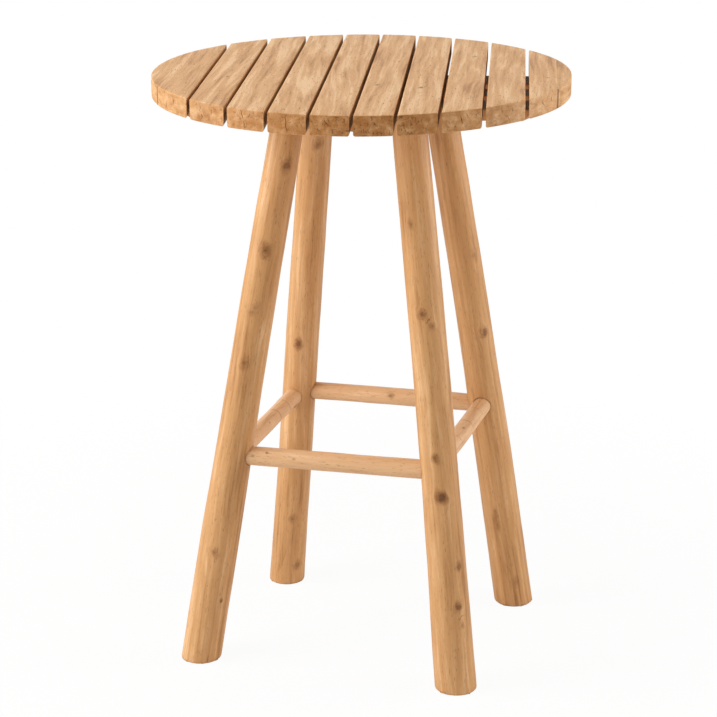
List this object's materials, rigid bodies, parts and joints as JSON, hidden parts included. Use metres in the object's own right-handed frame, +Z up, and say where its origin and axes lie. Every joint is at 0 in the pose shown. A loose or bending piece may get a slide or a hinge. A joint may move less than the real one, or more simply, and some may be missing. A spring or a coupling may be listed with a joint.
{
  "type": "standing table",
  "caption": "Round slatted teak bar table on splayed log legs tied by round stretchers.",
  "frame": {"origin": "on the floor under the middle of the round top", "axes": "+Z up; +Y along the slats, away from the side the picture is taken from; +X across the slats, to the right there"},
  "size_m": [0.75, 0.75, 1.1],
  "materials": {
    "slat_teak": "sanded, natural",
    "frame_teak": "planed, natural",
    "log_teak": "peeled and sanded, natural",
    "rod_teak": "peeled and sanded, natural",
    "screw_steel": "brushed"
  },
  "bodies": {
    "root": {"bearer_back": "frame_teak", "bearer_front": "frame_teak", "bearer_middle": "frame_teak", "leg_back_left": "log_teak", "leg_back_right": "log_teak", "leg_front_left": "log_teak", "leg_front_right": "log_teak", "rail_back": "frame_teak", "rail_front": "frame_teak", "rail_left": "frame_teak", "rail_right": "frame_teak", "rail_screws": "screw_steel", "rim_strip_left": "slat_teak", "rim_strip_right": "slat_teak", "slat_01": "slat_teak", "slat_02": "slat_teak", "slat_03": "slat_teak", "slat_04": "slat_teak", "slat_05": "slat_teak", "slat_06": "slat_teak", "slat_07": "slat_teak", "slat_08": "slat_teak", "slat_09": "slat_teak", "slat_10": "slat_teak", "slat_screws_back": "screw_steel", "slat_screws_front": "screw_steel", "slat_screws_middle": "screw_steel", "stretcher_back": "rod_teak", "stretcher_front": "rod_teak", "stretcher_left": "rod_teak", "stretcher_right": "rod_teak"}
  },
  "joints": []
}
